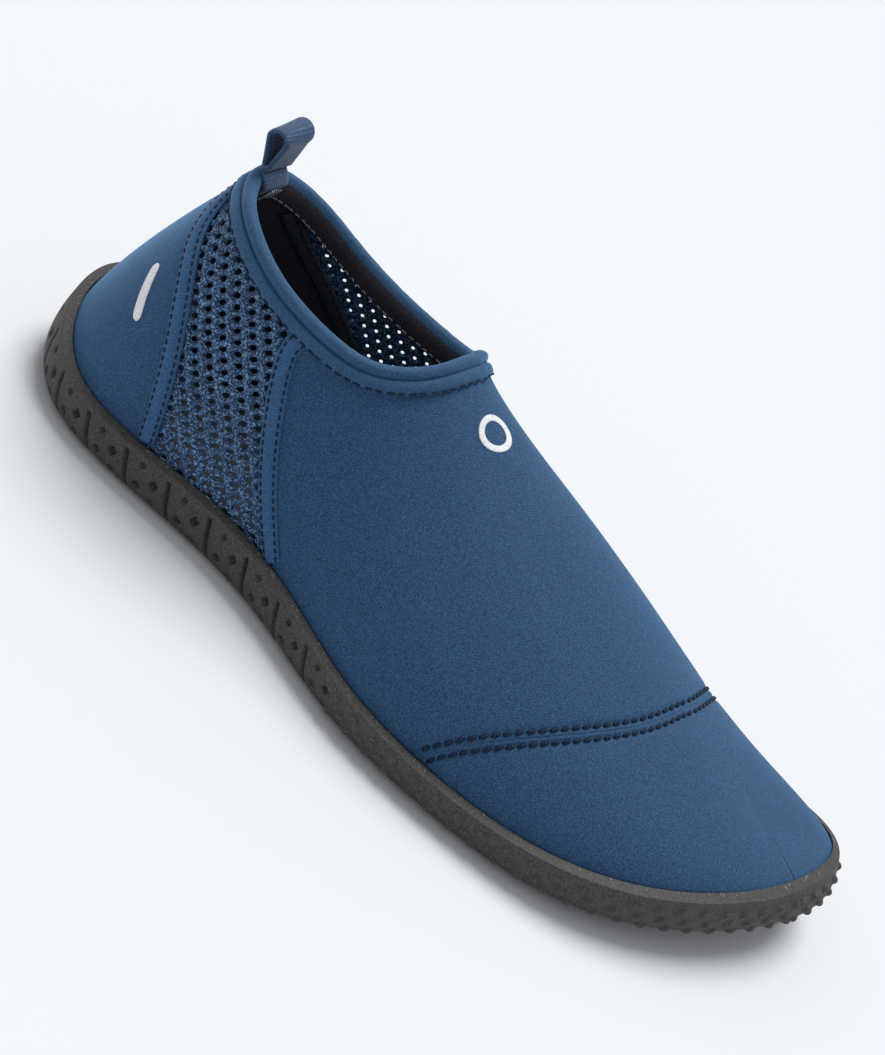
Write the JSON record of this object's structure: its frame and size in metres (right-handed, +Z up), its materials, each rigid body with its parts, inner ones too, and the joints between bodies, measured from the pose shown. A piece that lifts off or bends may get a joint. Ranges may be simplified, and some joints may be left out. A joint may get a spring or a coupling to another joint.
{
  "type": "neoprene water shoe",
  "caption": "Low-cut slip-on water shoe for the right foot: blue neoprene and open mesh upper with taped seams, bound collar, heel pull loop and a dark rubber sole that wraps up round the foot",
  "frame": {"origin": "middle of the shoe's footprint on the ground plane it stands on", "axes": "+X from heel to toe, +Y towards the inner side of the foot, +Z up"},
  "size_m": [0.2792, 0.1103, 0.0999],
  "materials": {
    "rubber": "dark grey moulded rubber with a fine grain",
    "board": "black stitched-in fibre board",
    "footbed": "dark knit over foam",
    "neoprene": "heathered blue knit laminated to neoprene, soft sheen",
    "knit_mesh": "open blue air mesh",
    "seam_tape": "saturated blue seam tape",
    "collar": "smooth blue bound edge",
    "webbing": "ribbed blue webbing",
    "light_thread": "pale glittering thread",
    "dark_thread": "navy thread",
    "white_print": "matt white transfer print"
  },
  "bodies": {
    "shoe": {"outsole": "rubber", "strobel_board": "board", "sockliner": "footbed", "heel_panel": "neoprene", "vamp_panel": "neoprene", "toe_panel": "neoprene", "mesh_lateral": "knit_mesh", "mesh_medial": "knit_mesh", "tape_rear_lateral": "seam_tape", "tape_front_lateral": "seam_tape", "tape_rear_medial": "seam_tape", "tape_front_medial": "seam_tape", "collar_band": "collar", "collar_lip": "collar", "loop_anchor": "webbing", "loop_bartack": "light_thread", "toe_seam_rear": "dark_thread", "toe_seam_front": "dark_thread", "collar_stitches": "dark_thread", "tape_stitches": "dark_thread", "heel_mark": "white_print", "vamp_mark": "white_print"},
    "pull_loop": {"pull_loop": "webbing"}
  },
  "joints": [
    {"name": "loop_swing", "type": "hinge", "parent": "shoe", "child": "pull_loop", "pos_m": [-0.11002, -0.00024, 0.08491], "axis": [0, 1, 0], "range_deg": [-60, 45]}
  ]
}
